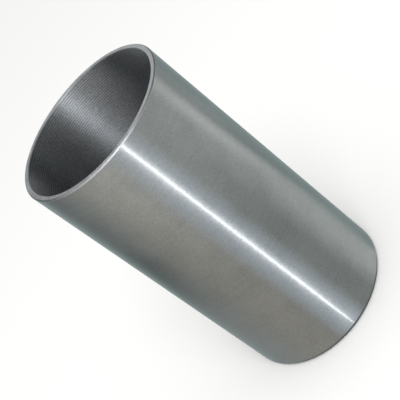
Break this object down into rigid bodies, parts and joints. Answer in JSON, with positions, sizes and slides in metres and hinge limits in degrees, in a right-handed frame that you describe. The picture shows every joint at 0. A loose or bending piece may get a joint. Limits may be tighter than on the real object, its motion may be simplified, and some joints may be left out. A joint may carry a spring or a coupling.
{
  "type": "cylinder liner",
  "caption": "Dry cylinder liner: a plain thin-walled iron sleeve, ground outside, with a through bore and a lead-in chamfer round its bottom end.",
  "frame": {"origin": "centre of the bottom face, on the bore axis", "axes": "+Z along the bore axis, from the lead-in end up to the top (deck) end; the part is round, so +X and +Y are any pair square to it"},
  "size_m": [0.095, 0.095, 0.182],
  "materials": {
    "machined_iron": "bright machined grey iron: the outside ground, the ends faced, the bore left with the boring tool's feed marks"
  },
  "bodies": {
    "root": {"cylinder_liner": "machined_iron"}
  },
  "joints": []
}
